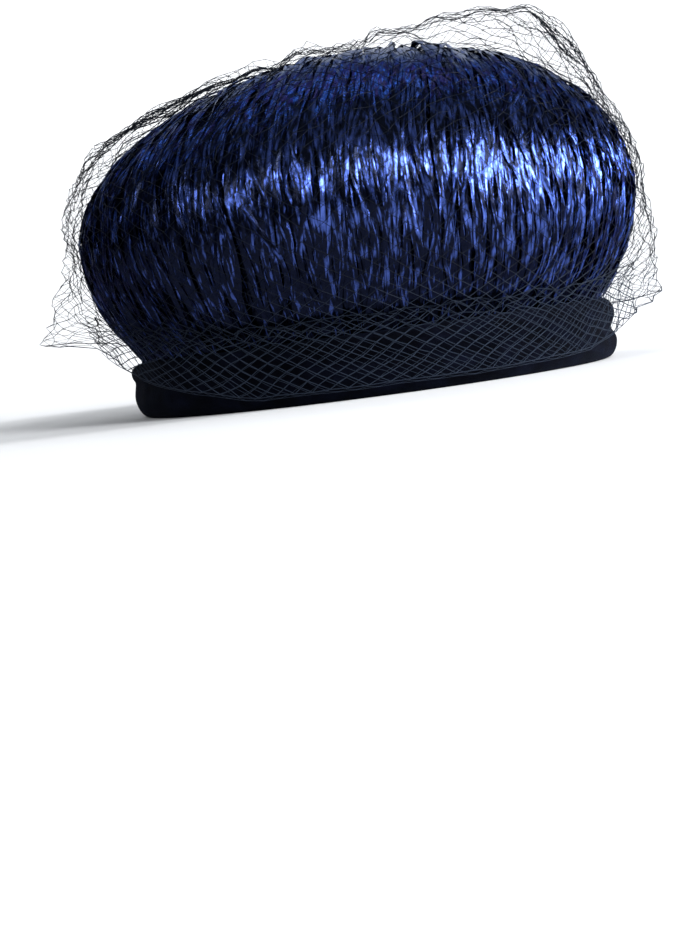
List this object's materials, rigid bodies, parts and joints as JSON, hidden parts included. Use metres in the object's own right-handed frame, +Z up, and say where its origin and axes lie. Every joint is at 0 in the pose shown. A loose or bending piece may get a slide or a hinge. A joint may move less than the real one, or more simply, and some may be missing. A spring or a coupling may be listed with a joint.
{
  "type": "raffia toque hat with net veil",
  "caption": "full-bellied hollow toque of glossy raffia strands with a folded velvet rim and a stiff diamond net veil thrown over it",
  "frame": {"origin": "on the table under the middle of the whole hat with its veil, at the bottom centre of its box", "axes": "+Z up from the rim it rests on, front of the hat towards -Y, +X to the left side of whoever wears it"},
  "size_m": [0.2372, 0.2448, 0.1315],
  "materials": {
    "raffia": "glossy navy raffia strands, crinkled lengthwise",
    "velvet": "near-black navy velvet with a soft pile",
    "net": "fine stiffened navy net"
  },
  "bodies": {
    "root": {"raffia_crown": "raffia", "velvet_band": "velvet", "net_veil": "net"}
  },
  "joints": []
}
